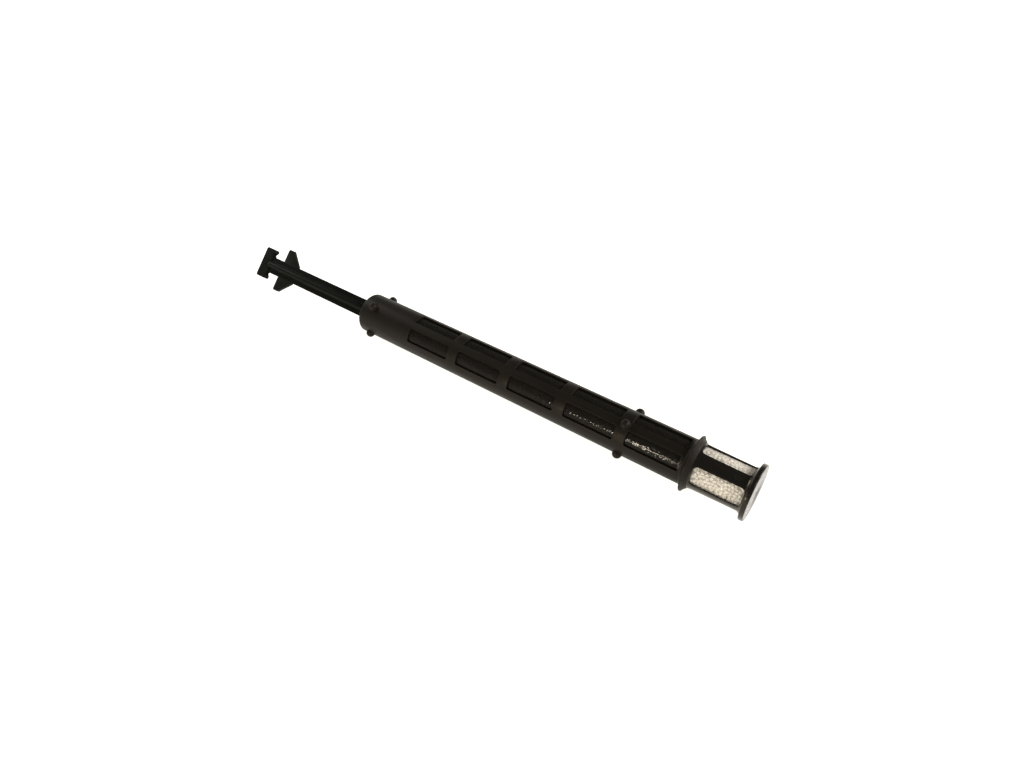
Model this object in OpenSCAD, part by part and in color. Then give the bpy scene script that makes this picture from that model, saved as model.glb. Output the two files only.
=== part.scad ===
// Desiccant cartridge for a receiver-drier: a tube of beads with mesh windows, a filter cage at one
// end and a pull stem at the other. It lies on its side. +X runs along it towards the filter cage,
// +Z is up, and the origin is under its middle, on the surface that it lies on.

/* [Cartridge] */
// Length over everything, from the T-bar to the end disc
overall_l = 350.2; // [345:0.1:370]
// Radius of the lip ring, the widest part, which seals in the receiver
ring_r = 14.85; // [14.8:0.05:15.5]
// Angle that the tube and the cage are rolled to
tube_roll = 27.5; // [0:0.5:90]

/* [Tube] */
// Length of the tube with its lip ring
tube_l = 217.6; // [214:0.1:222]
// Outer radius of the tube
tube_r = 12; // [11.9:0.05:12.4]
// Thickness of the tube's wall
tube_wall = 1.1; // [1:0.05:1.3]
// Radius of the round edge at the stem end
tube_edge_r = 0.8; // [0.3:0.1:0.8]
// Length of the lip ring where it joins the tube
ring_root_l = 5.2; // [4.6:0.1:5.4]
// Width of the lip ring's edge
ring_edge_l = 0.5; // [0.3:0.1:0.8]

/* [Tube windows] */
// Windows in each column
window_rows = 5; // [3:1:5]
// Length of a window
window_l = 29.2; // [24:0.1:30]
// Distance from one window to the next in a column
window_pitch = 35.8; // [35:0.1:36]
// Width of a window, straight across
window_w = 7.8; // [6:0.1:8.4]
// Radius of the windows' corners
window_corner_r = 0.7; // [0.3:0.1:1.5]
// Angle from the narrow rib's centre to the middle of a window
window_angle = 30.3; // [28:0.1:33]

/* [Nubs] */
// Radius of a centring nub
nub_r = 2.6; // [2.2:0.1:3.2]
// Distance from the axis to a nub's tip
nub_tip_r = 14.75; // [14:0.05:14.75]
// Distance from the tube's stem end to the first ring of nubs
nub_inset = 7.9; // [6:0.1:9]

/* [Filter cage] */
// Length of the cage's windows
cage_window_l = 25.2; // [22:0.1:26]
// Width of a cage window, straight across
cage_window_w = 10; // [8:0.1:10.6]
// Radius of the cage windows' corners
cage_corner_r = 1.8; // [0.5:0.1:2.4]
// Outer radius of the cage beside the lip ring
cage_r = 11.65; // [11.5:0.05:11.8]
// Outer radius of the cage beside the end disc
cage_end_r = 11.3; // [11.2:0.05:11.5]
// Inner radius of the cage
cage_bore_r = 10.5; // [10.3:0.05:10.5]
// Radius of the end disc
disc_r = 14.65; // [14:0.05:14.8]
// Thickness of the end disc
disc_t = 2.6; // [1.8:0.1:2.6]

/* [Stem] */
// Angle that the stem's wings are rolled to
stem_roll = -45.1; // [-90:0.1:90]
// Width of the stem's flat web
stem_w = 11; // [9.6:0.1:11.4]
// Thickness of the web and the wings
web_t = 2.6; // [2:0.1:3.2]
// Height of the stem across its round ribs
rib_h = 8.4; // [7:0.1:9]
// Width of the round ribs
rib_w = 4; // [3:0.1:4.6]
// Length of the T-bar along the stem
bar_l = 6.4; // [5:0.1:9]
// Length of the T-bar from tip to tip
bar_w = 20.5; // [18:0.1:22]
// Thickness of the T-bar
bar_t = 3.6; // [3:0.1:6]
// Distance from the T-bar's outer face to the wings
wing_inset = 18.9; // [18:0.1:22]
// Distance from wing tip to wing tip
wing_span = 29.1; // [26:0.1:29.4]
// Radius of the neck that turns in the end plug
neck_r = 3.15; // [2.8:0.05:3.15]

/* [Bed] */
// Outer radius of the bed of beads
bed_r = 10.55; // [10.4:0.05:10.55]
// Length of the space for the follower's spring
spring_l = 23.5; // [21:0.1:24]
// Turns of wire in the spring
spring_turns = 6; // [4:1:7]
// Diameter of the spring's wire
wire_d = 1.2; // [1:0.1:1.3]
// Diameter of the holes in the follower and the partition plate
perforation_d = 1.6; // [1.2:0.1:1.8]

/* [Hidden] */
$fn = 96;

gap = 0.05;      // between pieces that are pushed or glued together
mesh_t = 0.28;   // thickness of the mesh cloths
felt_t = 2;
plate_t = 1.6;
plug_l = 8.2;
plug_recess = 1;
plug_wall = 1.2;
sleeve_r = 5.2;  // of the plug's sleeve, which holds the stem's neck
skirt_l = 5;     // of the follower
spigot_l = 3.2;  // of the cage, inside the tube
cage_collar_l = 0.9;
nub_shift = 0.5; // of the second ring of nubs, towards the cage
cage_end_l = 0.9;
disc_edge_r = 0.5;
cage_ledge_w = 1.1; // inside the spigot, where the mesh sleeve stands
spring_r = 8.2;  // from the axis to the middle of the spring's wire
closed_turn = 1.1 * wire_d; // rise of the first and the last turn
coil_steps = 24 * spring_turns;
wire_sides = 8;
lip_l = 1.8;     // of the T-bar's two lips, beyond the bar
lip_w = 2.4;
wing_base_l = 13;
wing_tip_l = 3.9;
wing_step = 0.8; // of the wings' swept edge above the stem
head_l = 4;      // of the stem's snap head
head_lip = 0.8;
past = 1;        // how far a cut runs past a face

tube_bore_r = tube_r - tube_wall;
strip_r = tube_bore_r - 0.02;
disc_plug_r = cage_bore_r - 3 * gap - mesh_t;

// places along X, from the filter end to the stem end
disc_hi = overall_l / 2;
disc_lo = disc_hi - disc_t;
cage_window_hi = disc_lo - cage_end_l;
cage_window_lo = cage_window_hi - cage_window_l;
tube_hi = cage_window_lo - cage_collar_l;
tube_lo = tube_hi - tube_l;
ring_lo = tube_hi - ring_root_l;
window_hi = ring_lo - 0.5;
window_lo = window_hi - (window_rows - 1) * window_pitch - window_l;
strip_lo = window_lo - 1.5;
spigot_lo = tube_hi - spigot_l;
partition_lo = spigot_lo - plate_t;
lower_felt_lo = partition_lo - felt_t;
strip_hi = partition_lo - 0.2;
disc_plug_lo = cage_window_hi + 0.1;
plug_lo = tube_lo + plug_recess;
plug_hi = plug_lo + plug_l;
follower_lo = plug_hi + spring_l;
upper_felt_lo = follower_lo + plate_t;
bed_lo = upper_felt_lo + felt_t;
nub_rows = [tube_lo + nub_inset, window_hi - window_l - (window_pitch - window_l) / 2 + nub_shift];
bar_lo = -overall_l / 2;
wing_lo = bar_lo + wing_inset;
// the middles of the four columns of windows, from the narrow rib on top
columns = [window_angle, -window_angle, 180 - window_angle, 180 + window_angle];

// Places its children in the cartridge, whose axis lies ring_r above the ground
module rolled(angle) translate([0, 0, ring_r]) rotate([angle, 0, 0]) children();

// A solid turned about X, from points that each give a radius and a place along X
module turned(points) rotate([0, 90, 0]) rotate_extrude() polygon(points);

// A round rod along X
module rod(r, from, to) translate([from, 0, 0]) rotate([0, 90, 0]) cylinder(r = r, h = to - from);

// Places its children at x and turns their +Z out through the wall, at an angle about X
module through_wall(x, angle) rotate([angle, 0, 0]) translate([x, 0, 0]) children();

// A flat outline with round corners, its first side along the outline's x
module round_rectangle(l, w, r) {
    square([l - 2 * r, w], center = true);
    square([l, w - 2 * r], center = true);
    for (x = [-1, 1], y = [-1, 1]) translate([x * (l / 2 - r), y * (w / 2 - r)]) circle(r = r, $fn = 32);
}

// Points of an arc about [r, x], each a radius and a place along X
function arc(r, x, size, from, to, steps) =
    [for (i = [0:steps]) let (a = from + (to - from) * i / steps) [r + size * sin(a), x + size * cos(a)]];

// The tube's outline: round at the stem end, with a lip ring that rises in a hollow curve from the
// tube and falls straight to the cage
module tube_blank() {
    edge_lo = ring_lo + (ring_root_l - ring_edge_l) / 2;
    hollow = [for (f = [0:0.125:1])
        [tube_r + (ring_r - tube_r) * f * f, ring_lo + (edge_lo - ring_lo) * f]];
    turned(concat(
        [[tube_bore_r, tube_lo]],
        arc(tube_r - tube_edge_r, tube_lo + tube_edge_r, tube_edge_r, 180, 90, 6),
        hollow,
        [[ring_r, edge_lo + ring_edge_l], [tube_r, tube_hi], [tube_bore_r, tube_hi]]
    ));
}

module desiccant_tube() color([0.14, 0.13, 0.11]) rolled(tube_roll) difference() {
    union() {
        tube_blank();
        for (x = nub_rows, a = [0:90:270])
            through_wall(x, a) translate([0, 0, nub_tip_r - nub_r]) sphere(r = nub_r, $fn = 48);
    }
    rod(tube_bore_r, tube_lo - past, tube_hi + past);
    for (row = [0:window_rows - 1], a = columns)
        through_wall(window_lo + row * window_pitch + window_l / 2, a)
            linear_extrude(ring_r) round_rectangle(window_l, window_w, window_corner_r);
}

// One strip of woven mesh, glued inside the tube behind a column of windows
module mesh_strip(angle) color([0.08, 0.08, 0.08]) rolled(tube_roll + angle) intersection() {
    difference() {
        rod(strip_r, strip_lo, strip_hi);
        rod(strip_r - mesh_t, strip_lo - past, strip_hi + past);
    }
    translate([strip_lo - past, -window_w / 2 - 0.8, 0])
        cube([strip_hi - strip_lo + 2 * past, window_w + 1.6, ring_r]);
}
module mesh_strip_1() mesh_strip(columns[0]);
module mesh_strip_2() mesh_strip(columns[1]);
module mesh_strip_3() mesh_strip(columns[2]);
module mesh_strip_4() mesh_strip(columns[3]);

module desiccant_bed() color([0.82, 0.76, 0.66]) rolled(0) rod(bed_r, bed_lo, lower_felt_lo);

module felt_pad(from) color([0.9, 0.88, 0.82]) rolled(0) rod(bed_r - gap, from, from + felt_t);
module lower_felt() felt_pad(lower_felt_lo);
module upper_felt() felt_pad(upper_felt_lo);

// Two rings of holes, smaller than a bead, through a plate
module perforations(from, to) {
    for (a = [0:60:300]) rotate([a, 0, 0]) translate([0, 0, 3.4]) rod(perforation_d / 2, from, to);
    for (a = [0:30:330]) rotate([a, 0, 0]) translate([0, 0, 7]) rod(perforation_d / 2, from, to);
}

// Held between the cage's spigot and the lower felt
module partition_plate() color([0.16, 0.16, 0.17]) rolled(tube_roll) difference() {
    rod(tube_bore_r - gap, partition_lo, spigot_lo);
    perforations(partition_lo - past, spigot_lo + past);
}

// Closes the stem end: an end wall, a skirt, and a sleeve for the stem's neck on four ribs
module end_plug() color([0.13, 0.13, 0.12]) rolled(tube_roll) difference() {
    union() {
        difference() {
            rod(tube_bore_r - gap, plug_lo, plug_hi);
            rod(tube_bore_r - gap - plug_wall, plug_lo + plug_wall, plug_hi + past);
        }
        rod(sleeve_r, plug_lo, plug_hi);
        for (a = [0, 90]) rotate([a, 0, 0])
            translate([plug_lo, -plug_wall / 2, -tube_bore_r + plug_wall])
                cube([plug_l, plug_wall, 2 * (tube_bore_r - plug_wall)]);
    }
    rod(neck_r + gap, plug_lo - past, plug_hi + past);
}

// How far the wire has risen after so many turns: the first and the last turn lie almost flat
function rise(turn) = let (total = spring_l - 2 * gap - wire_d)
    turn < 1 ? turn * closed_turn
    : turn > spring_turns - 1 ? total - (spring_turns - turn) * closed_turn
    : closed_turn + (turn - 1) * (total - 2 * closed_turn) / (spring_turns - 2);

// Pushes the follower onto the bed
module bed_spring() color([0.72, 0.72, 0.7]) rolled(0) {
    rings = [for (i = [0:coil_steps], j = [0:wire_sides - 1]) let (
        turn = spring_turns * i / coil_steps,
        b = 360 * j / wire_sides,
        r = spring_r + wire_d / 2 * cos(b),
        x = plug_hi + gap + wire_d / 2 + rise(turn) + wire_d / 2 * sin(b))
        [x, r * cos(360 * turn), r * sin(360 * turn)]];
    sides = [for (i = [0:coil_steps - 1], j = [0:wire_sides - 1]) let (k = (j + 1) % wire_sides)
        [i * wire_sides + j, i * wire_sides + k, (i + 1) * wire_sides + k, (i + 1) * wire_sides + j]];
    first = [for (j = [wire_sides - 1:-1:0]) j];
    last = [for (j = [0:wire_sides - 1]) coil_steps * wire_sides + j];
    polyhedron(rings, concat(sides, [first, last]));
}

// A perforated plate with a skirt that keeps it square in the tube
module follower_plate() color([0.13, 0.13, 0.12]) rolled(0) difference() {
    rod(tube_bore_r - 0.3, follower_lo - skirt_l, upper_felt_lo);
    rod(tube_bore_r - 0.3 - plug_wall, follower_lo - skirt_l - past, follower_lo);
    perforations(follower_lo - past, upper_felt_lo + past);
}

// A tapered cage with a spigot inside the tube's end and a flare under the end disc
module filter_cage() color([0.06, 0.07, 0.09]) rolled(tube_roll) difference() {
    turned([
        [tube_bore_r - gap, spigot_lo], [tube_bore_r - gap, tube_hi],
        [cage_r, tube_hi], [cage_r, cage_window_lo], [cage_end_r, cage_window_hi - 0.6],
        [cage_end_r + 0.25, cage_window_hi], [cage_end_r + 1.3, disc_lo],
        [cage_bore_r, disc_lo], [cage_bore_r, tube_hi], [cage_bore_r - cage_ledge_w, tube_hi],
        [cage_bore_r - cage_ledge_w, spigot_lo]
    ]);
    for (a = [45:90:315]) through_wall(cage_window_lo + cage_window_l / 2, a)
        linear_extrude(ring_r) round_rectangle(cage_window_l, cage_window_w, cage_corner_r);
}

// A rolled sleeve of fine mesh that stands on the ledge inside the cage
module filter_mesh() color([0.88, 0.83, 0.75]) rolled(0) difference() {
    rod(cage_bore_r - gap, tube_hi + gap, disc_lo - gap);
    rod(cage_bore_r - gap - mesh_t, tube_hi, disc_lo);
}

module filter_bed() color([0.88, 0.84, 0.76]) rolled(0) {
    rod(disc_plug_r, tube_hi + gap, disc_plug_lo - gap);
    rod(cage_bore_r - cage_ledge_w - gap, spigot_lo + gap, tube_hi + 2 * gap);
}

// A cap with a short plug inside the mesh sleeve
module end_disc() color([0.06, 0.07, 0.09]) rolled(tube_roll) turned(concat(
    [[0, disc_plug_lo], [disc_plug_r, disc_plug_lo], [disc_plug_r, disc_lo]],
    arc(disc_r - disc_edge_r, disc_lo + disc_edge_r, disc_edge_r, 180, 90, 6),
    arc(disc_r - disc_edge_r, disc_hi - disc_edge_r, disc_edge_r, 90, 0, 6),
    [[0, disc_hi]]
));

stem_hi = plug_lo - gap;
head_lo = plug_hi + gap;

// The T-bar's outline: a bar whose ends carry lips, with round hollows between them and the stem
module bar_outline() difference() {
    hollow_w = (bar_w - stem_w) / 2 - lip_w;
    translate([bar_lo, -bar_w / 2]) square([bar_l + lip_l, bar_w]);
    for (s = [-1, 1]) translate([bar_lo + bar_l + hollow_w / 2, s * (stem_w + hollow_w) / 2]) {
        circle(r = hollow_w / 2, $fn = 32);
        translate([0, -hollow_w / 2]) square(hollow_w);
    }
}

// The wings' outline: straight across towards the T-bar and swept back towards the tube
module wing_outline() for (s = [0, 1]) mirror([0, s]) polygon([
    [wing_lo, 0], [wing_lo, wing_span / 2], [wing_lo + wing_tip_l, wing_span / 2],
    [wing_lo + wing_base_l, stem_w / 2 + wing_step], [wing_lo + wing_base_l, 0]
]);

// The neck turns in the end plug, and its split head snaps out behind the plug's sleeve
module snap_head() difference() {
    union() {
        rod(neck_r, stem_hi - past, head_lo + head_lip);
        turned([[0, head_lo], [neck_r + head_lip, head_lo], [neck_r + head_lip, head_lo + head_lip],
                [neck_r - 1, head_lo + head_l], [0, head_lo + head_l]]);
    }
    translate([head_lo - head_l, -0.6, -neck_r - past]) cube([2 * head_l + past, 1.2, 2 * (neck_r + past)]);
}

// A web with a round rib on each face as far as the T-bar, and a pair of wings
module stem() color([0.09, 0.1, 0.08]) rolled(stem_roll) {
    shaft_l = stem_hi - bar_lo;
    rib_lo = bar_lo + bar_l;
    rotate([90, 0, 0]) linear_extrude(bar_t, center = true) bar_outline();
    rotate([90, 0, 0]) linear_extrude(web_t, center = true) wing_outline();
    translate([bar_lo, -web_t / 2, -stem_w / 2]) cube([shaft_l, web_t, stem_w]);
    translate([rib_lo, -(rib_h - rib_w) / 2, -rib_w / 2]) cube([stem_hi - rib_lo, rib_h - rib_w, rib_w]);
    for (s = [-1, 1]) translate([0, s * (rib_h - rib_w) / 2, 0]) rod(rib_w / 2, rib_lo, stem_hi);
    snap_head();
}

desiccant_tube();
mesh_strip_1();
mesh_strip_2();
mesh_strip_3();
mesh_strip_4();
desiccant_bed();
lower_felt();
partition_plate();
end_plug();
bed_spring();
follower_plate();
upper_felt();
filter_cage();
filter_mesh();
filter_bed();
end_disc();
stem();
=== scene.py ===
"""Looks of a receiver-drier's desiccant cartridge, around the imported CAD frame. Metres, +X towards the
filter cage, +Z up, lying on z = 0."""

import math
import random

import bmesh
import bpy
from mathutils import Matrix, Vector
from mathutils.kdtree import KDTree


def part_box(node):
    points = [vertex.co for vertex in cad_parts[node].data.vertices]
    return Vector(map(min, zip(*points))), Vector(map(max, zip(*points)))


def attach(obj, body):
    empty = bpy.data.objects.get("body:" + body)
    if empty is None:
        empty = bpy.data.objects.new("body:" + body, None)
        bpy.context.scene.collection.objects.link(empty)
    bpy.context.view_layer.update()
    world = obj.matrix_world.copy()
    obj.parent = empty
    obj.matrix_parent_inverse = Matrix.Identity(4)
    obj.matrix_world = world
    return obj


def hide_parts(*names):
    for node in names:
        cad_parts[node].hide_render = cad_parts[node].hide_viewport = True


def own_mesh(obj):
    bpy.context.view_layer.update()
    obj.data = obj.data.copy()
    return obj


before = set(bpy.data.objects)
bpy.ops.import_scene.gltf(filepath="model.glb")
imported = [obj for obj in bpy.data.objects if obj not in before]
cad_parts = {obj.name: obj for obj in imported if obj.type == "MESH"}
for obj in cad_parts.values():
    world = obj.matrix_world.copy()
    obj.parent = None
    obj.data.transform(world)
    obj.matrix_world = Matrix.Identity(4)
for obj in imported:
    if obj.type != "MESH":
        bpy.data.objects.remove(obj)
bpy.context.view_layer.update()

MM = 0.001

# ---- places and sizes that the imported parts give


def span(node):
    """The lowest and highest place of a node along X."""
    low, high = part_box(node)
    return low[0], high[0]


def radius(node):
    """The largest radius of a round node."""
    low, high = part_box(node)
    return (high[2] - low[2]) / 2


TUBE_LO, TUBE_HI = span("desiccant_tube")
CAGE_LO, CAGE_HI = span("filter_cage")
DISC_PLUG_LO, DISC_HI = span("end_disc")
STRIP_LO, STRIP_HI = span("mesh_strip_1")
BED_LO, BED_HI = span("desiccant_bed")
SLEEVE_LO, SLEEVE_HI = span("filter_mesh")
SPRING_LO, SPRING_HI = span("bed_spring")
STEM_LO, STEM_HI = span("stem")
PLUG_LO, PLUG_HI = span("end_plug")

RING_R = radius("desiccant_tube")
BED_R = radius("desiccant_bed")
SLEEVE_R = radius("filter_mesh")
SPRING_R = radius("bed_spring")
DISC_R = radius("end_disc")
AXIS_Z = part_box("end_disc")[0][2] + DISC_R

# ---- sizes that the boxes don't give, nearly all of them the same as the CAD's

TUBE_ROLL = math.radians(27.5)
STEM_ROLL = math.radians(-45.1)

TUBE_R = 12 * MM
BORE_R = 10.9 * MM
TUBE_EDGE_R = 0.8 * MM
BORE_EDGE_R = 0.15 * MM
RING_ROOT_L = 5.2 * MM
RING_LIP_R = 0.25 * MM
WINDOW_ROWS = 5
WINDOW_L = 29.2 * MM
WINDOW_PITCH = 35.8 * MM
WINDOW_W = 7.8 * MM
WINDOW_CORNER_R = 0.9 * MM  # a little rounder than the CAD's
WINDOW_HI = TUBE_HI - RING_ROOT_L - 0.5 * MM
WINDOW_COLUMNS = [math.radians(a) for a in (-30.3, 30.3, 149.7, 210.3)]
WINDOW_CELL = math.radians(22)  # half the angle of the wall's cell round a window

NUB_R = 2.6 * MM
NUB_TIP_R = 14.75 * MM
NUB_ROWS = [TUBE_LO + 7.9 * MM, WINDOW_HI - WINDOW_L / 2 - WINDOW_PITCH / 2 + 0.5 * MM]

SPIGOT_R = 10.85 * MM
CAGE_R = 11.65 * MM
CAGE_END_R = 11.3 * MM
CAGE_BORE_R = 10.5 * MM
LEDGE_R = 9.4 * MM
CAGE_COLLAR_L = 0.9 * MM
CAGE_WINDOW_L = 25.2 * MM
CAGE_WINDOW_W = 10 * MM
CAGE_CORNER_R = 1.8 * MM
CAGE_COLUMNS = [math.radians(a) for a in (45, 135, 225, 315)]
CAGE_CELL = math.radians(32)  # the same for the cage
DISC_T = 2.6 * MM

BEAD_R = 1.0 * MM
STRIP_R = 10.74 * MM  # to the middle of the black mesh
STRIP_W = 9.2 * MM
STRIP_COLUMNS = (1, 0, 2, 3)  # the window column behind which each numbered strip lies


def around(x, r, angle):
    """A point at a place along the axis, a radius, and an angle about +X from +Z."""
    return Vector((x, -r * math.sin(angle), AXIS_Z + r * math.cos(angle)))


def steps(start, stop, count):
    """count + 1 even steps from start to stop."""
    return [start + (stop - start) * i / count for i in range(count + 1)]


def bend(x, y, size, start, stop, count=5):
    """Points of an arc in a flat outline, about (x, y). In a turned outline y is the radius."""
    return [
        (x + size * math.cos(a), y + size * math.sin(a))
        for a in steps(math.radians(start), math.radians(stop), count)
    ]


# ---- materials


class Nodes:
    """Short names for building one procedural material. sockets are other inputs of its shader, named
    with underscores for spaces."""

    def __init__(self, name, color, roughness, **sockets):
        self.material = bpy.data.materials.new(name)
        self.material.use_nodes = True
        self.tree = self.material.node_tree
        self.shader = self.tree.nodes["Principled BSDF"]
        self.shader.inputs["Base Color"].default_value = (*color, 1)
        self.shader.inputs["Roughness"].default_value = roughness
        for socket, value in sockets.items():
            self.shader.inputs[socket.replace("_", " ")].default_value = value
        self.coordinates = self.add("ShaderNodeTexCoord").outputs["Object"]

    def add(self, kind, **values):
        node = self.tree.nodes.new(kind)
        for key, value in values.items():
            setattr(node, key, value)
        return node

    def join(self, source, target):
        self.tree.links.new(source, target)

    def stretched(self, scale):
        """The object's coordinates, stretched."""
        mapping = self.add("ShaderNodeMapping")
        mapping.inputs["Scale"].default_value = scale
        self.join(self.coordinates, mapping.inputs["Vector"])
        return mapping.outputs["Vector"]

    def noise(self, scale, detail=3, stretch=(1, 1, 1)):
        node = self.add("ShaderNodeTexNoise")
        node.inputs["Scale"].default_value = scale
        node.inputs["Detail"].default_value = detail
        self.join(self.stretched(stretch), node.inputs["Vector"])
        return node.outputs["Fac"]

    def ramp(self, factor, stops):
        """A colour from a factor; stops are (place, colour)."""
        node = self.add("ShaderNodeValToRGB")
        elements = node.color_ramp.elements
        while len(elements) < len(stops):
            elements.new(0.5)
        for element, (place, color) in zip(elements, stops):
            element.position = place
            element.color = (*color, 1)
        self.join(factor, node.inputs["Fac"])
        return node.outputs["Color"]

    def range(self, factor, low, high, from_low=0.3, from_high=0.7):
        """A number from low to high as the factor goes between its own bounds."""
        node = self.add("ShaderNodeMapRange")
        for name, value in (
            ("From Min", from_low), ("From Max", from_high), ("To Min", low), ("To Max", high),
        ):
            node.inputs[name].default_value = value
        self.join(factor, node.inputs["Value"])
        return node.outputs["Result"]

    def mix(self, factor, first, second, blend="MIX"):
        """Two colours, each a socket or a plain colour, mixed by a factor socket or number."""
        node = self.add("ShaderNodeMix", data_type="RGBA", blend_type=blend)
        for socket, value in ((node.inputs[0], factor), (node.inputs[6], first), (node.inputs[7], second)):
            if isinstance(value, tuple):
                socket.default_value = (*value, 1)
            elif isinstance(value, (int, float)):
                socket.default_value = value
            else:
                self.join(value, socket)
        return node.outputs[2]

    def edges(self, low=0.51, high=0.58):
        """From 0 to 1 on sharp outer edges, where parts wear."""
        node = self.add("ShaderNodeNewGeometry")
        return self.range(node.outputs["Pointiness"], 0, 1, low, high)

    def color(self, socket):
        self.join(socket, self.shader.inputs["Base Color"])

    def roughness(self, socket):
        self.join(socket, self.shader.inputs["Roughness"])

    def bump(self, height, strength, distance):
        node = self.add("ShaderNodeBump")
        node.inputs["Strength"].default_value = strength
        node.inputs["Distance"].default_value = distance
        self.join(height, node.inputs["Height"])
        self.join(node.outputs["Normal"], self.shader.inputs["Normal"])


def moulded(name, color, tint, roughness, grain, **sockets):
    """Moulded plastic: flow along the axis, a fine grain, scuffs, and paler worn edges."""
    m = Nodes(name, color, roughness, **sockets)
    flow = m.noise(90, 4, (0.25, 1, 1))
    scuffs = m.noise(900, 3, (0.08, 1, 1))
    base = m.ramp(flow, [(0.3, color), (0.7, tint)])
    worn = tuple(1.7 * c + 0.002 for c in color)
    m.color(m.mix(m.edges(), base, worn))
    m.roughness(m.range(scuffs, roughness - 0.07, roughness + 0.12))
    m.bump(m.noise(2600, 2), grain, 0.00004)
    return m.material


def wire_material(name, color, tint, roughness, **sockets):
    """Drawn plastic thread, slightly uneven in colour and gloss."""
    m = Nodes(name, color, roughness, **sockets)
    m.color(m.ramp(m.noise(700), [(0.35, color), (0.7, tint)]))
    m.roughness(m.range(m.noise(3000), roughness - 0.08, roughness + 0.1))
    m.bump(m.noise(9000, 2), 0.2, 0.00001)
    return m.material


def bead_material(name, pale, dark):
    """Chalky ceramic beads, each of its own shade, with a powdery grain."""
    m = Nodes(name, pale, 0.85, Specular_IOR_Level=0.3)
    own = m.add("ShaderNodeNewGeometry").outputs["Random Per Island"]
    shade = m.ramp(own, [(0.0, dark), (0.35, pale), (1.0, tuple(min(1, 1.12 * c) for c in pale))])
    m.color(m.mix(m.range(m.noise(2500, 4), 0, 0.2), shade, dark))
    m.roughness(m.range(m.noise(1800), 0.75, 0.95))
    m.bump(m.noise(6000, 4), 0.5, 0.00003)
    return m.material


def felt_material():
    """Pressed wool felt: matted fibres and flecks."""
    m = Nodes("felt", (0.72, 0.69, 0.6), 0.95, Specular_IOR_Level=0.2, Sheen_Weight=0.3)
    fibres = m.noise(2200, 6, (1, 0.3, 1))
    m.color(m.ramp(fibres, [(0.3, (0.5, 0.47, 0.4)), (0.6, (0.76, 0.73, 0.65))]))
    m.roughness(m.range(fibres, 0.88, 1.0))
    m.bump(fibres, 0.8, 0.0002)
    return m.material


def steel_material():
    """Drawn spring wire with fine die lines and a little dullness."""
    m = Nodes("spring_steel", (0.55, 0.55, 0.54), 0.28, Metallic=1.0)
    m.color(m.ramp(m.noise(600, 4), [(0.35, (0.42, 0.41, 0.4)), (0.65, (0.6, 0.6, 0.6))]))
    m.roughness(m.range(m.noise(4000, 2), 0.2, 0.42))
    m.bump(m.noise(5000, 2), 0.25, 0.00001)
    return m.material


def floor_material():
    """A white light table: its own glow leaves the object without a dark shadow."""
    m = Nodes("floor", (0.42, 0.41, 0.39), 0.9, Specular_IOR_Level=0.1,
              Emission_Color=(1, 0.965, 0.9, 1), Emission_Strength=1.01)
    m.color(m.ramp(m.noise(3, 2), [(0.3, (0.41, 0.4, 0.38)), (0.7, (0.44, 0.43, 0.41))]))
    return m.material


TUBE_PLASTIC = moulded("tube_plastic", (0.0038, 0.0031, 0.0021), (0.0056, 0.0043, 0.0029), 0.46, 0.25,
                       Specular_IOR_Level=0.13, Specular_Tint=(1, 0.84, 0.68, 1))
CAGE_PLASTIC = moulded("cage_plastic", (0.0024, 0.0022, 0.0022), (0.0034, 0.0031, 0.003), 0.2, 0.06,
                       Specular_IOR_Level=0.32, Specular_Tint=(1, 0.88, 0.64, 1))
STEM_PLASTIC = moulded("stem_plastic", (0.0016, 0.0019, 0.0012), (0.0026, 0.003, 0.0019), 0.48, 0.2,
                       Specular_IOR_Level=0.06, Specular_Tint=(1, 1, 0.86, 1))
INNER_PLASTIC = moulded("inner_plastic", (0.012, 0.0115, 0.0105), (0.016, 0.015, 0.014), 0.45, 0.2,
                        Specular_IOR_Level=0.22)
BLACK_MESH = wire_material("black_mesh", (0.0075, 0.0064, 0.0049), (0.0118, 0.01, 0.0078), 0.13,
                           Specular_IOR_Level=0.14, Specular_Tint=(1, 0.94, 0.84, 1))
WHITE_MESH = wire_material("white_mesh", (0.69, 0.64, 0.56), (0.77, 0.73, 0.65), 0.55, Sheen_Weight=0.2)
# The desiccant beads' dark brown is partly their own tone and partly painted shade, which stands in for the
# shade inside the tube behind the black mesh.
DESICCANT_WITH_PAINTED_SHADE = bead_material("desiccant", (0.05, 0.041, 0.03), (0.03, 0.024, 0.017))
FILTER_BEADS = bead_material("filter_beads", (0.8, 0.75, 0.66), (0.73, 0.68, 0.59))
FELT = felt_material()
STEEL = steel_material()

# ---- helpers for pieces


def linked(name, data):
    """A new object in the scene."""
    thing = bpy.data.objects.new(name, data)
    bpy.context.scene.collection.objects.link(thing)
    return thing


def mesh_data(name, mesh):
    """A bmesh's data, with its faces turned outwards. The bmesh is used up."""
    data = bpy.data.meshes.new(name)
    bmesh.ops.recalc_face_normals(mesh, faces=mesh.faces)
    mesh.to_mesh(data)
    mesh.free()
    return data


def piece(name, mesh, material, body, slot, *nodes, sharp=35):
    """A shown piece from a bmesh: its material, its body, its slot, which is not used, and the CAD nodes it
    stands for.
    """
    return dress(name, mesh_data(name, mesh), material, body, slot, *nodes, sharp=sharp)


def dress(name, data, material, body, slot, *nodes, sharp=35):
    """The same from finished mesh data. Edges sharper than the angle in degrees stay sharp."""
    for polygon in data.polygons:
        polygon.use_smooth = True
    data.set_sharp_from_angle(angle=math.radians(sharp))
    data.materials.clear()
    data.materials.append(material)
    thing = linked(name, data)
    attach(thing, body)
    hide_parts(*nodes)
    return thing


def loops_to_faces(mesh, loops, closed=True, caps=False):
    """Quads between each loop of vertices and the next; closed joins each loop's end to its start."""
    for first, second in zip(loops, loops[1:]):
        count = len(first)
        for i in range(count if closed else count - 1):
            j = (i + 1) % count
            mesh.faces.new((first[i], first[j], second[j], second[i]))
    if caps:
        mesh.faces.new(list(reversed(loops[0])))
        mesh.faces.new(loops[-1])


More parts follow.
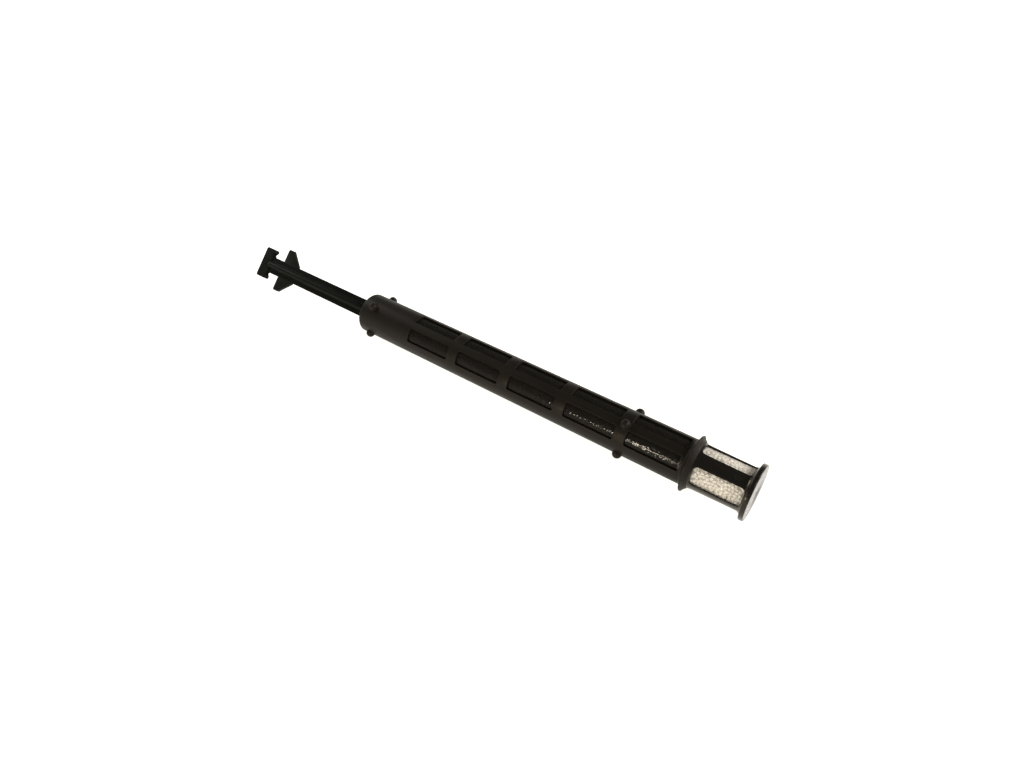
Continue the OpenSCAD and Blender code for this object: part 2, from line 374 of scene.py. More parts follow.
def surface(mesh, rows, closed=True, caps=False):
    """A surface through rows of points."""
    loops = [[mesh.verts.new(point) for point in row] for row in rows]
    loops_to_faces(mesh, loops, closed, caps)


def turned(mesh, outline, angles=None):
    """A surface turned about the axis, from points (place, radius)."""
    angles = angles or steps(0, math.tau, 128)[:-1]
    rows = []
    for x, r in outline:
        rows.append([around(x, max(r, 1e-6), a) for a in angles])
    surface(mesh, rows)


def merged(mesh):
    """The bmesh with vertices in the same place joined."""
    bmesh.ops.remove_doubles(mesh, verts=mesh.verts, dist=2e-6)
    return mesh


# ---- a round wall with windows, for the tube and the cage


class Wall:
    """A round wall between two radii, with columns of windows that have round corners and edges.
    outer gives the outer radius at a place along the axis. Each window sits in a cell of the wall."""

    CORNER = 4  # steps in half a corner
    ACROSS = 14  # steps on a window's straight ends
    EDGE_R = 0.25 * MM  # the round edge of a window

    def __init__(self, outer, inner_r, columns, cell, window, corner_r, along):
        self.outer, self.inner_r = outer, inner_r
        self.columns, self.cell = columns, cell
        self.half_l, self.half_w = window[0] / 2, window[1] / 2
        self.corner_r = corner_r
        self.along = along  # steps on a window's straight sides
        self.mesh = bmesh.new()

    def inner(self, x):
        """The inner radius, which is the same at every place."""
        return self.inner_r

    def cell_angles(self, middle, r):
        straight = self.half_w - self.corner_r
        window = [math.asin(u / r) for u in steps(-straight, straight, self.ACROSS)]
        margin = steps(-self.cell, window[0], self.CORNER)[:-1]
        return [middle + a for a in margin + window + [-a for a in reversed(margin)]]

    def cell_places(self, middle, before, after):
        straight = self.half_l - self.corner_r
        row = steps(-before, -straight, self.CORNER)[:-1]
        row += steps(-straight, straight, self.along)
        row += steps(straight, after, self.CORNER)[1:]
        return [middle + x for x in row]

    def window_loop(self, grow):
        """The window's outline, grown by a distance, as (across, along) from its middle. It starts in
        the middle of a corner and matches the cell's outline point for point."""
        a, b, r = self.half_w + grow, self.half_l + grow, self.corner_r + grow
        corners = [(-a + r, -b + r, 225), (a - r, -b + r, 315), (a - r, b - r, 45), (-a + r, b - r, 135)]
        counts = [self.ACROSS, self.along, self.ACROSS, self.along]
        loop = []
        for k, (u, v, angle) in enumerate(corners):
            next_u, next_v, _ = corners[(k + 1) % 4]
            away = bend(u, v, r, angle, angle + 45, self.CORNER)
            back = bend(next_u, next_v, r, angle + 45, angle + 90, self.CORNER)
            side = zip(*(steps(start, stop, counts[k]) for start, stop in zip(away[-1], back[0])))
            loop += away[:-1] + list(side)[:-1] + back[:-1]
        return loop

    def cell_loop(self, angles, places, r):
        """The cell's outline on the surface whose radius r gives."""
        ring = [(places[0], a) for a in angles[:-1]]
        ring += [(x, angles[-1]) for x in places[:-1]]
        ring += [(places[-1], a) for a in angles[:0:-1]]
        ring += [(x, angles[0]) for x in places[:0:-1]]
        return [around(x, r(x), a + TUBE_ROLL) for x, a in ring]

    def window_row(self, middle_angle, middle_x, grow, r):
        """The window's outline, grown by a distance, on the surface whose radius r gives."""
        points = []
        for u, v in self.window_loop(grow):
            x = middle_x + v
            points.append(around(x, r(x), middle_angle + math.asin(u / r(x)) + TUBE_ROLL))
        return points

    def window(self, middle_angle, middle_x, angles, places):
        """One cell's wall on both sides, and the window's reveal between them."""
        rows = [self.cell_loop(angles, places, self.outer)]
        for t in steps(0, math.pi / 2, 4):
            grow, depth = self.EDGE_R * (1 - math.sin(t)), self.EDGE_R * (1 - math.cos(t))
            rows.append(self.window_row(middle_angle, middle_x, grow, lambda x: self.outer(x) - depth))
        rows.append(self.window_row(middle_angle, middle_x, 0, self.inner))
        rows.append(self.cell_loop(angles, places, self.inner))
        surface(self.mesh, rows)

    def build(self, rows, half_cell, last_half):
        """rows are the middles of the windows along the axis. The cells reach half_cell to each side of
        them, but only last_half past the last one. Returns the wall's angles, all round."""
        halves = [half_cell] * (len(rows) - 1) + [last_half]
        places = [self.cell_places(x, half_cell, after) for x, after in zip(rows, halves)]
        all_places = places[0] + [x for row in places[1:] for x in row[1:]]
        angles = []
        for k, middle in enumerate(self.columns):
            cell = self.cell_angles(middle, self.outer(rows[0]))
            following = self.columns[(k + 1) % len(self.columns)] - self.cell
            if following < cell[-1]:
                following += math.tau
            gap = following - cell[-1]
            rib = steps(cell[-1], following, max(4, round(math.degrees(gap) / 2)))
            for x, row in zip(rows, places):
                self.window(middle, x, cell, row)
            for r in (self.outer, self.inner):
                grid = [[around(x, r(x), a + TUBE_ROLL) for a in rib] for x in all_places]
                surface(self.mesh, grid, closed=False)
            angles += cell[:-1] + rib[:-1]
        return [a + TUBE_ROLL for a in angles]


# ---- the tube


def nub(mesh, x, angle):
    """A centring nub: a dome that runs into the tube's surface with a small fillet."""
    fillet = 0.3 * MM
    middle = NUB_TIP_R - NUB_R
    dome_end = math.radians(72)
    dome = [(NUB_R * math.sin(t), middle + NUB_R * math.cos(t)) for t in steps(0.001, dome_end, 12)]
    turns = steps(0, math.tau, 48)[:-1]

    def place(across, height, turn):
        u, v = across * math.sin(turn), across * math.cos(turn)
        point = Vector((x + v, -u, height))
        return Matrix.Rotation(angle, 3, "X") @ point + Vector((0, 0, AXIS_Z))

    def wall_height(across, turn):
        return math.sqrt(TUBE_R**2 - (across * math.sin(turn)) ** 2)

    rows = [[place(across, height, turn) for turn in turns] for across, height in dome]
    for t in steps(0, math.pi / 2, 6):
        across = NUB_R + fillet * (1 - math.cos(t))
        rise = fillet * (1 - math.sin(t))
        rows.append([place(across, wall_height(across, turn) + rise, turn) for turn in turns])
    rows.append([place(NUB_R + fillet, TUBE_R - 1.0 * MM, turn) for turn in turns])
    surface(mesh, rows, caps=True)


def stem_end_outline(cells_lo):
    """The plain end of the tube, from the first cells round its end and back along the bore."""
    outline = [(x, TUBE_R) for x in steps(cells_lo, TUBE_LO + TUBE_EDGE_R, 6)]
    outline += bend(TUBE_LO + TUBE_EDGE_R, TUBE_R - TUBE_EDGE_R, TUBE_EDGE_R, 90, 180, 6)[1:]
    outline += bend(TUBE_LO + BORE_EDGE_R, BORE_R + BORE_EDGE_R, BORE_EDGE_R, 180, 270, 2)
    return outline + [(cells_lo, BORE_R)]


def lip_ring_outline(cells_hi):
    """The lip ring: a hollow flare up to a narrow round lip, and another one down to the cage."""
    ring_lo = TUBE_HI - RING_ROOT_L
    lip_lo = ring_lo + RING_ROOT_L / 2 - RING_LIP_R
    lip_hi = lip_lo + 2 * RING_LIP_R
    rise = RING_R - TUBE_R
    outline = [(cells_hi, TUBE_R)]
    for f in steps(0, 1, 14):
        outline.append((ring_lo + (lip_lo - ring_lo) * f, TUBE_R + (rise - 0.12 * MM) * f**3))
    outline += bend(lip_lo + RING_LIP_R, RING_R - RING_LIP_R, RING_LIP_R, 140, 50)
    for f in steps(0.08, 1, 8):
        outline.append((lip_hi + (TUBE_HI - lip_hi) * f, RING_R - RING_LIP_R - (rise - RING_LIP_R) * f**0.8))
    return outline + [(TUBE_HI, BORE_R), (cells_hi, BORE_R)]


def make_tube():
    rows = [WINDOW_HI - WINDOW_L / 2 - WINDOW_PITCH * k for k in reversed(range(WINDOW_ROWS))]
    half_cell = WINDOW_PITCH / 2
    last_half = WINDOW_L / 2 + 0.45 * MM  # the lip ring begins just past the last windows
    wall = Wall(lambda x: TUBE_R, BORE_R, WINDOW_COLUMNS, WINDOW_CELL, (WINDOW_L, WINDOW_W),
                WINDOW_CORNER_R, 12)
    angles = wall.build(rows, half_cell, last_half)
    turned(wall.mesh, stem_end_outline(rows[0] - half_cell), angles)
    turned(wall.mesh, lip_ring_outline(rows[-1] + last_half), angles)
    merged(wall.mesh)
    for x in NUB_ROWS:
        for quarter in range(4):
            nub(wall.mesh, x, TUBE_ROLL + quarter * math.pi / 2)
    piece("tube_shell", wall.mesh, TUBE_PLASTIC, "cartridge", "tube_plastic", "desiccant_tube")


# ---- woven mesh


def weave(mesh, point, wires, picks, wire_r, lift, sides):
    """Two sets of crossing threads. point(across, along, height) gives a place. wires are the long
    threads' places across, and picks are the cross threads' places along."""

    def thread(places):
        """A thread through places (across, along, height)."""
        rows = []
        for k, (a, b, height) in enumerate(places):
            centre = point(a, b, height)
            out = (point(a, b, height + 1e-4) - centre).normalized()
            next_a, next_b, _ = places[k + 1] if k + 1 < len(places) else places[k - 1]
            ahead = point(next_a, next_b, height) - centre
            side = ahead.cross(out).normalized()
            rows.append([
                centre + wire_r * (math.cos(t) * out + math.sin(t) * side)
                for t in (math.tau * (s + 0.5) / sides for s in range(sides))
            ])
        surface(mesh, rows, caps=True)

    for i, a in enumerate(wires):
        thread([(a, b, lift * (-1) ** (i + j)) for j, b in enumerate(picks)])
    for j, b in enumerate(picks):
        thread([(a, b, -lift * (-1) ** (i + j)) for i, a in enumerate(wires)])


# ---- beads


def scatter(seed, length, girth, spacing, fill):
    """Evenly scattered places (along, round) on an unrolled cylinder, pushed apart until they rest."""
    dice = random.Random(seed)
    row_height = 0.866  # between the rows of a close-packed layer, in spacings
    rounds, pace = 40, 0.6
    count = int(length * girth / (spacing * spacing * row_height) * fill)
    places = [[dice.uniform(0, length), dice.uniform(0, girth)] for _ in range(count)]
    for _ in range(rounds):
        tree = KDTree(3 * count)
        for k, (a, b) in enumerate(places):
            for lap in (-1, 0, 1):
                tree.insert((a, b + lap * girth, 0), k)
        tree.balance()
        moved = []
        for k, (a, b) in enumerate(places):
            push_a = push_b = 0.0
            for found, other, distance in tree.find_range((a, b, 0), spacing):
                if other == k or distance < 1e-9:
                    continue
                push = 0.5 * (spacing - distance) / distance
                push_a += (a - found[0]) * push
                push_b += (b - found[1]) * push
            moved.append([min(max(a + pace * push_a, 0), length), (b + pace * push_b) % girth])
        places = moved
    return places


def bead_shape():
    """The points and faces of a round bead of radius 1."""
    shape = bmesh.new()
    bmesh.ops.create_icosphere(shape, subdivisions=2, radius=1)
    points = [v.co.copy() for v in shape.verts]
    faces = [[v.index for v in f.verts] for f in shape.faces]
    shape.free()
    return points, faces


def beads(name, low, high, bed_r, seed, material, node):
    """A layer of loose beads under a mesh, on a lumpy packed core. Returns the beads' centres."""
    dice = random.Random(seed + 100)
    centre_r = bed_r - BEAD_R
    length, girth = high - low - 2 * BEAD_R, math.tau * centre_r
    places = scatter(seed, length, girth, spacing=1.98 * BEAD_R, fill=0.93)
    shape, shape_faces = bead_shape()
    points, faces, centres = [], [], []
    for a, b in places:
        size = BEAD_R * dice.uniform(0.93, 1.0)
        centre = around(low + BEAD_R + a, centre_r - dice.uniform(0, 0.22 * BEAD_R), b / centre_r)
        centres.append(centre)
        turn = Matrix.Rotation(dice.uniform(0, math.tau), 3, Vector((dice.random(), dice.random(), 1)))
        squash = Vector((1, 1, dice.uniform(0.93, 1)))
        start = len(points)
        points += [centre + turn @ (size * (p * squash)) for p in shape]
        faces += [[start + i for i in face] for face in shape_faces]
    data = bpy.data.meshes.new(name)
    data.from_pydata(points, [], faces)
    mesh = bmesh.new()
    mesh.from_mesh(data)
    bpy.data.meshes.remove(data)
    core_lo, core_hi, core_r = low + 0.2 * MM, high - 0.2 * MM, centre_r - 0.9 * BEAD_R
    lump_rise, lump_rate = 0.1 * MM, 9000  # the rate is in radians per metre
    lumps = [(x, core_r + lump_rise * math.sin(lump_rate * x)) for x in steps(core_lo, core_hi, 60)]
    turned(mesh, [(core_lo, 0)] + lumps + [(core_hi, 0)], steps(0, math.tau, 48)[:-1])
    piece(name, mesh, material, "cartridge", "beads", node, sharp=60)
    return centres


def make_beds():
    """The desiccant in two pieces, because of its many faces, and the filter's beads."""
    middle = (BED_LO + BED_HI) / 2
    near = beads("desiccant_beads_stem_end", BED_LO, middle, BED_R, 1, DESICCANT_WITH_PAINTED_SHADE, "desiccant_bed")
    far = beads("desiccant_beads_filter_end", middle, BED_HI, BED_R, 2, DESICCANT_WITH_PAINTED_SHADE, "desiccant_bed")
    white_hi = span("filter_bed")[1]
    white_r = SLEEVE_R - 0.3 * MM
    white = beads("filter_beads_white", SLEEVE_LO, white_hi, white_r, 3, FILTER_BEADS, "filter_bed")
    return near + far, white


class Drape:
    """How far a mesh over beads bulges outwards at a place."""

    def __init__(self, centres, rise, reach):
        self.rise, self.reach = rise, reach
        self.tree = KDTree(len(centres))
        for k, centre in enumerate(centres):
            self.tree.insert(centre, k)
        self.tree.balance()

    def __call__(self, place):
        distance = self.tree.find(place)[2]
        return self.rise * max(0, 1 - ((distance - BEAD_R) / self.reach) ** 2)


def make_black_mesh(centres):
    """A strip of coarse mesh behind each column of windows."""
    drape = Drape(centres, rise=0.14 * MM, reach=0.5 * MM)
    pitch, wire_r, lift, end_gap = 0.42 * MM, 0.13 * MM, 0.04 * MM, 0.2 * MM
    base_r = STRIP_R - 0.14 * MM
    half = round(STRIP_W / 2 / pitch)
    across = [u * pitch for u in range(-half, half + 1)]
    count = int((STRIP_HI - STRIP_LO - 2 * end_gap) / pitch)
    along = [STRIP_LO + end_gap + pitch * k for k in range(count + 1)]
    for number, column in enumerate(STRIP_COLUMNS, start=1):
        middle = WINDOW_COLUMNS[column]

        def point(a, x, height, middle=middle):
            angle = middle + a / STRIP_R + TUBE_ROLL
            flat = around(x, base_r, angle)
            return around(x, base_r + height + drape(flat), angle)

        mesh = bmesh.new()
        weave(mesh, point, across, along, wire_r, lift, 4)
        piece(f"mesh_screen_{number}", mesh, BLACK_MESH, "cartridge", "black_mesh",
              f"mesh_strip_{number}", sharp=80)


def make_white_mesh(centres):
    """A rolled sleeve of fine mesh."""
    drape = Drape(centres, rise=0.26 * MM, reach=0.45 * MM)
    wires, wire_r, lift, end_gap = 128, 0.045 * MM, 0.035 * MM, 0.1 * MM
    middle_r = SLEEVE_R - 0.35 * MM
    pitch = math.tau * middle_r / wires
    across = [pitch * k for k in range(wires + 1)]
    count = int((SLEEVE_HI - SLEEVE_LO - 2 * end_gap) / pitch)
    along = [SLEEVE_LO + end_gap + pitch * k for k in range(count + 1)]

    def point(a, x, height):
        flat = around(x, middle_r, a / middle_r)
        return around(x, middle_r + drape(flat) + height, a / middle_r)

    mesh = bmesh.new()
    weave(mesh, point, across, along, wire_r, lift, 5)
    piece("filter_screen", mesh, WHITE_MESH, "cartridge", "white_mesh", "filter_mesh", sharp=80)


# ---- the cage and the end disc


def cage_outer(x):
    """The cage's outer radius: a slight taper with a flare at each end."""
    flare_lo_l, flare_lo_rise = 3.2 * MM, 0.3 * MM
    flare_hi_l, flare_hi_rise = 2.6 * MM, 1.35 * MM
    f = min(1, max(0, (x - TUBE_HI) / (CAGE_HI - TUBE_HI)))
    plain = CAGE_R + (CAGE_END_R - CAGE_R) * f
    near = max(0, 1 - (x - TUBE_HI) / flare_lo_l)
    far = max(0, 1 - (CAGE_HI - x) / flare_hi_l)
    return plain + flare_lo_rise * near**2.2 + flare_hi_rise * far**2.2


def gate_mark(mesh, x, angle):
    """A small raised ring where the plastic entered the mould."""
    rise, middle_r, half_w, root = 0.16 * MM, 1.0 * MM, 0.25 * MM, -0.3
    outer_side = [(half_w, root), (half_w, 0.6), (0.6 * half_w, 1)]
    section = outer_side + [(-offset, height) for offset, height in reversed(outer_side)]
    rows = []
    for offset, height in section:
        row = []
        for turn in steps(0, math.tau, 40)[:-1]:
            u, v = (middle_r + offset) * math.sin(turn), (middle_r + offset) * math.cos(turn)
            r = cage_outer(x + v) + rise * height
            row.append(around(x + v, r, angle + math.asin(u / r)))
        rows.append(row)
    surface(mesh, rows + [rows[0]])


def make_cage():
    window_lo = TUBE_HI + CAGE_COLLAR_L
    middle = window_lo + CAGE_WINDOW_L / 2
    half_cell = CAGE_WINDOW_L / 2 + 0.6 * MM
    wall = Wall(cage_outer, CAGE_BORE_R, CAGE_COLUMNS, CAGE_CELL, (CAGE_WINDOW_L, CAGE_WINDOW_W),
                CAGE_CORNER_R, 30)
    angles = wall.build([middle], half_cell, half_cell)
    low, high = middle - half_cell, middle + half_cell
    shoulder, chamfer = TUBE_HI + 0.02 * MM, 0.3 * MM
    outline = [(x, cage_outer(x)) for x in steps(low, shoulder, 3)]
    outline += [(shoulder, SPIGOT_R), (CAGE_LO + chamfer, SPIGOT_R), (CAGE_LO, SPIGOT_R - chamfer)]
    outline += [(CAGE_LO, LEDGE_R), (TUBE_HI, LEDGE_R), (TUBE_HI, CAGE_BORE_R), (low, CAGE_BORE_R)]
    turned(wall.mesh, outline, angles)
    outline = [(x, cage_outer(x)) for x in steps(high, CAGE_HI, 4)]
    outline += [(CAGE_HI, CAGE_BORE_R), (high, CAGE_BORE_R)]
    turned(wall.mesh, outline, angles)
    gate_mark(wall.mesh, window_lo + CAGE_WINDOW_L - 5.6 * MM, TUBE_ROLL)
    merged(wall.mesh)
    piece("cage_shell", wall.mesh, CAGE_PLASTIC, "cartridge", "cage_plastic", "filter_cage")


def make_disc():
    """A round disc on a plug, with a shallow round dimple and a gate stub in the middle of its face."""
    seat = DISC_HI - DISC_T + 0.02 * MM
    plug_r = CAGE_BORE_R - 0.43 * MM
    chamfer, edge = 0.2 * MM, 0.5 * MM
    dimple, stub = DISC_HI - 0.12 * MM, DISC_HI - 0.02 * MM
    outline = [(DISC_PLUG_LO, 0), (DISC_PLUG_LO, plug_r - chamfer), (DISC_PLUG_LO + chamfer, plug_r)]
    outline += [(seat, plug_r), (seat, 12.7 * MM)]
    outline += bend(seat + 0.08 * MM + edge, DISC_R - edge, edge, 170, 90, 6)
    outline += bend(DISC_HI - edge, DISC_R - edge, edge, 90, 0, 6)
    outline += [(DISC_HI, 3.2 * MM), (dimple, 3.0 * MM), (dimple, 0.9 * MM)]
    outline += [(stub, 0.75 * MM), (stub, 0)]
    mesh = bmesh.new()
    turned(mesh, outline)
    piece("end_cap", merged(mesh), CAGE_PLASTIC, "cartridge", "cage_plastic", "end_disc")


# ---- the stem

STEM_W = 11 * MM
WEB_T = 2.6 * MM
WING_T = WEB_T * 0.96  # thinner than the web, so that no faces lie in one plane
WING_EDGE_R = 0.4 * MM
BAR_EDGE_R = 0.45 * MM
RIB_H = 8.4 * MM
RIB_W = 4.0 * MM
RIB_RAMP_L = 3.0 * MM
BAR_L = 6.4 * MM
BAR_W = 20.5 * MM
BAR_T = 3.6 * MM
LIP_L = 1.8 * MM
LIP_W = 2.4 * MM
WING_LO = STEM_LO + 18.9 * MM
WING_BASE_L = 13 * MM
WING_TIP_L = 3.9 * MM
WING_STEP = 0.8 * MM
WING_SPAN = 29.1 * MM
NECK_R = 3.15 * MM


def in_stem(x, across, out):
    """A point of the stem: along it, across its wings, and out from its web."""
    turn = Matrix.Rotation(STEM_ROLL, 3, "X")
    return turn @ Vector((x, -out, across)) + Vector((0, 0, AXIS_Z))


def slab(outline, thickness, edge):
    """A flat plate from an outline of (along, across) points, with round edges all round."""
    mesh = bmesh.new()
    half = thickness / 2
    loops = [[mesh.verts.new((x, w, n)) for x, w in outline] for n in (-half, half)]
    loops_to_faces(mesh, loops, caps=True)
    rim = [e for e in mesh.edges if abs(e.verts[0].co.z - e.verts[1].co.z) < 1e-7]
    bmesh.ops.bevel(mesh, geom=rim, offset=edge, segments=3, profile=0.5, affect="EDGES")
    for v in mesh.verts:
        v.co = in_stem(*v.co)
    return mesh


def mirrored(upper):
    """A whole flat outline from its upper half."""
    return upper + [(x, -w) for x, w in reversed(upper)]


def bar_outline():
    """The T-bar: a bar with a lip at each end and a round hollow between each lip and the stem."""
    back_r, lip_r, inner_r = 0.7 * MM, 0.6 * MM, 0.4 * MM
    end, tip = BAR_W / 2, STEM_LO + BAR_L + LIP_L
    hollow = (end - LIP_W - STEM_W / 2) / 2
    hollow_x = STEM_LO + BAR_L + hollow
    hollow_w = STEM_W / 2 + hollow
    upper = bend(STEM_LO + back_r, end - back_r, back_r, 180, 90)
    upper += bend(tip - lip_r, end - lip_r, lip_r, 90, 0)
    upper += bend(tip - inner_r, end - LIP_W + inner_r, inner_r, 0, -90)
    upper += bend(hollow_x, hollow_w, hollow, 90, 270, 10)
    upper += [(tip, STEM_W / 2)]
    return mirrored(upper)


def wing_outline():
    """The pair of wings: square to the stem towards the T-bar, swept down on the other side."""
    r = 0.8 * MM
    top, root = WING_SPAN / 2, STEM_W / 2 - 1 * MM
    lean = math.atan2(WING_BASE_L - WING_TIP_L, top - STEM_W / 2 - WING_STEP)
    sweep_x = WING_LO + WING_TIP_L - r * math.tan((math.pi / 2 - lean) / 2)
    base = WING_LO + WING_BASE_L
    upper = [(WING_LO, root)]
    upper += bend(WING_LO + r, top - r, r, 180, 90)
    upper += bend(sweep_x, top - r, r, 90, math.degrees(lean))
    upper += [(base, STEM_W / 2 + WING_STEP), (base, root)]
    return mirrored(upper)


def shaft_section(rib_h):
    """The stem's cross section: a web with a round rib on each face, joined by fillets."""
    half_w, half_t, rib = STEM_W / 2, WEB_T / 2, RIB_W / 2
    fillet, edge = 0.6 * MM, 0.35 * MM
    top = rib_h / 2 - rib
    quarter = bend(half_w - edge, half_t - edge, edge, 0, 90, 4)
    quarter += bend(rib + fillet, half_t + fillet, fillet, 270, 180, 4)
    quarter += [(w, max(n, half_t)) for w, n in bend(0, top, rib, 0, 90, 8)]
    half = quarter + [(-w, n) for w, n in reversed(quarter[:-1])]
    return mirrored(half)


def shaft():
    """The stem's rod. Its ribs rise out of the T-bar, and both its ends are drawn in a little."""
    low, high = STEM_LO + 0.3 * MM, PLUG_LO - 0.06 * MM
    ramp = STEM_LO + BAR_L
    flat = WEB_T + 1.2 * MM
    end = 0.96
    places = [(low, end, flat), (low + 0.4 * MM, 1, flat), (ramp, 1, flat)]
    for f in steps(0, 1, 6)[1:]:
        places.append((ramp + RIB_RAMP_L * f, 1, flat + (RIB_H - flat) * math.sin(math.pi / 2 * f)))
    places += [(high - 0.3 * MM, 1, RIB_H), (high, end, RIB_H)]
    rows = [[in_stem(x, w * size, n * size) for w, n in shaft_section(rib_h)] for x, size, rib_h in places]
    mesh = bmesh.new()
    surface(mesh, rows, caps=True)
    return mesh


def snap_head():
    """The neck that turns in the end plug, and the barbed head behind it."""
    barb, chamfer = NECK_R + 0.8 * MM, 0.15 * MM
    low, high = PLUG_LO - 1 * MM, PLUG_HI + 0.05 * MM
    outline = [(low, 0), (low, NECK_R), (high, NECK_R)]
    outline += [(high, barb - chamfer), (high + chamfer, barb), (high + 0.8 * MM, barb)]
    outline += [(STEM_HI - 0.3 * MM, NECK_R - 0.95 * MM), (STEM_HI, NECK_R - 1.4 * MM), (STEM_HI, 0)]
    mesh = bmesh.new()
    turned(mesh, outline, steps(0, math.tau, 64)[:-1])
    return merged(mesh)


def split_slot():
    """The slot that lets the barbed head spring through the end plug."""
    mesh = bmesh.new()
    bmesh.ops.create_cube(mesh, size=1)
    low, high = PLUG_HI - 4 * MM, STEM_HI + 1 * MM
    width, gap = 10 * MM, 1.2 * MM
    for v in mesh.verts:
        along, across, out = v.co
        v.co = in_stem((low + high) / 2 + along * (high - low), across * width, out * gap)
    return mesh


def solid(name, mesh):
    """A closed shape that the stem is joined from."""
    return linked(name, mesh_data(name, mesh))


def make_stem():
    """The rod, bar, wings and head as one moulding, with the head's slot cut out last."""
    base = solid("stem_base", shaft())
    tools = [
        solid("stem_bar", slab(bar_outline(), BAR_T, BAR_EDGE_R)),
        solid("stem_wings", slab(wing_outline(), WING_T, WING_EDGE_R)),
        solid("stem_head", snap_head()),
        solid("stem_slot", split_slot()),
    ]
    for tool in tools:
        cut = base.modifiers.new(tool.name, "BOOLEAN")
        cut.operation = "DIFFERENCE" if tool is tools[-1] else "UNION"
        cut.solver = "EXACT"
        cut.object = tool
    evaluated = base.evaluated_get(bpy.context.evaluated_depsgraph_get())
    data = bpy.data.meshes.new_from_object(evaluated)
    for thing in [base, *tools]:
        bpy.data.objects.remove(thing)
    dress("stem_shell", data, STEM_PLASTIC, "stem", "stem_plastic", "stem", sharp=38)


# ---- the spring and the felts


def make_spring():
    """Closed end turns and even turns between them."""
    wire_r = 0.6 * MM
    turns, per_turn, sides = 6, 48, 14
    length = SPRING_HI - SPRING_LO - 2 * wire_r
    closed = 2.2 * wire_r
    middle_r = SPRING_R - wire_r

    def rise(turn):
        if turn < 1:
            return turn * closed
        if turn > turns - 1:
            return length - (turns - turn) * closed
        return closed + (turn - 1) * (length - 2 * closed) / (turns - 2)

    mesh = bmesh.new()
    rows = []
    for turn in steps(0, turns, turns * per_turn):
        row = []
        for t in steps(0, math.tau, sides)[:-1]:
            x = SPRING_LO + wire_r + rise(turn) + wire_r * math.sin(t)
            row.append(around(x, middle_r + wire_r * math.cos(t), math.pi / 2 - math.tau * turn))
        rows.append(row)
    surface(mesh, rows, caps=True)
    spring = piece("follower_spring", mesh, STEEL, "cartridge", "spring_steel", "bed_spring", sharp=60)
    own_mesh(spring)


def felt_pad(name, node, body):
    """A felt disc, uneven, with soft edges."""
    low, high = span(node)
    r = radius(node)
    dice = random.Random(7)
    edge, uneven = 0.55 * MM, 0.04  # uneven is in millimetres
    outline = [(low, 0)] + [(low, f) for f in steps(1 * MM, r - edge, 8)]
    outline += bend(low + edge, r - edge, edge, 180, 90, 5)[1:]
    outline += bend(high - edge, r - edge, edge, 90, 0, 5)
    outline += [(high, f) for f in steps(r - edge, 1 * MM, 8)][1:] + [(high, 0)]
    mesh = bmesh.new()
    turned(mesh, outline)
    merged(mesh)
    for v in mesh.verts:
        v.co.x += dice.uniform(-uneven, uneven) * MM
    pad = piece(name, mesh, FELT, body, "felt", node, sharp=80)


# ---- light, floor and camera

CAMERA_AZIMUTH = math.radians(35.82)
CAMERA_ELEVATION = math.radians(41.365)
CAMERA_DISTANCE = 0.3874
CAMERA_TARGET = Vector((0.0363, -0.0022, 0.0130))
CAMERA_LENS = 24.61


def make_camera():
    data = bpy.data.cameras.new("camera")
    data.sensor_width = 36
    data.lens = CAMERA_LENS
    camera = linked("camera", data)
    away = Vector((
        math.sin(CAMERA_AZIMUTH) * math.cos(CAMERA_ELEVATION),
        -math.cos(CAMERA_AZIMUTH) * math.cos(CAMERA_ELEVATION),
        math.sin(CAMERA_ELEVATION),
    ))
    camera.location = CAMERA_TARGET + CAMERA_DISTANCE * away
    camera.rotation_euler = away.to_track_quat("Z", "Y").to_euler()
    bpy.context.scene.camera = camera


def area_light(name, place, size, power, target=(0.15, 0, 0.015), color=(1, 1, 1)):
    """A rectangular lamp at a place, turned towards a target near the cage. Size is in metres."""
    data = bpy.data.lights.new(name, "AREA")
    data.color = color
    data.shape = "RECTANGLE"
    data.size, data.size_y = size
    data.energy = power
    light = linked(name, data)
    light.location = place
    light.rotation_euler = (Vector(place) - Vector(target)).to_track_quat("Z", "Y").to_euler()


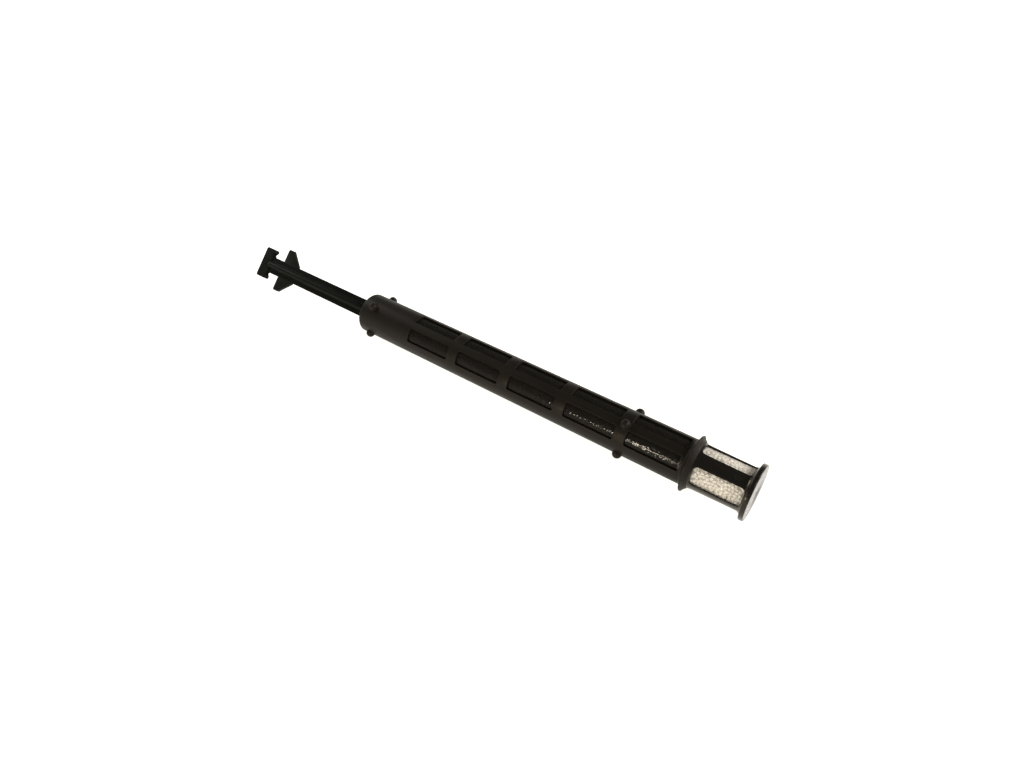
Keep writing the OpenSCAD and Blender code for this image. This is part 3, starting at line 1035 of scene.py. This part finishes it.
def make_world():
    """A studio that is white at the horizon and dim overhead."""
    world = bpy.data.worlds.new("studio")
    world.use_nodes = True
    tree = world.node_tree
    background = tree.nodes["Background"]
    background.inputs["Color"].default_value = (1, 0.97, 0.93, 1)
    direction = tree.nodes.new("ShaderNodeTexCoord")
    split = tree.nodes.new("ShaderNodeSeparateXYZ")
    fade = tree.nodes.new("ShaderNodeMapRange")
    for name, value in (("From Min", 0.12), ("From Max", 0.35), ("To Min", 1.1), ("To Max", 0.25)):
        fade.inputs[name].default_value = value
    tree.links.new(direction.outputs["Generated"], split.inputs[0])
    tree.links.new(split.outputs["Z"], fade.inputs["Value"])
    tree.links.new(fade.outputs["Result"], background.inputs["Strength"])
    bpy.context.scene.world = world


def make_stage():
    """The floor, the studio around it and the lamps."""
    mesh = bmesh.new()
    bmesh.ops.create_grid(mesh, x_segments=8, y_segments=8, size=4)
    data = bpy.data.meshes.new("floor")
    mesh.to_mesh(data)
    mesh.free()
    data.materials.append(floor_material())
    linked("floor", data)
    make_world()
    bpy.context.scene.view_settings.view_transform = "Standard"
    area_light("back", (0.95, 0.75, 0.7), (0.6, 0.4), 13)
    area_light("right", (0.92, -0.03, 0.68), (0.35, 0.3), 7)
    area_light("left", (-0.73, 0.07, 0.47), (0.35, 0.25), 2.6)
    # a small lamp low in front, for the glints on the beads
    area_light("glint", (0, -0.49, 0.12), (0.035, 0.035), 1.3, (0.12, 0, 0.015), (1, 0.95, 0.86))


def dress_carried_nodes():
    """The CAD's own inner plastic parts keep their shape and get the moulded plastic."""
    for node in ("end_plug", "partition_plate", "follower_plate"):
        data = bpy.data.objects[node].data
        data.materials.clear()
        data.materials.append(INNER_PLASTIC)


make_camera()
make_stage()
make_tube()
tube_beads, filter_beads = make_beds()
make_black_mesh(tube_beads)
make_white_mesh(filter_beads)
make_cage()
make_disc()
make_stem()
make_spring()
felt_pad("lower_pad", "lower_felt", "cartridge")
felt_pad("upper_pad", "upper_felt", "follower")
dress_carried_nodes()
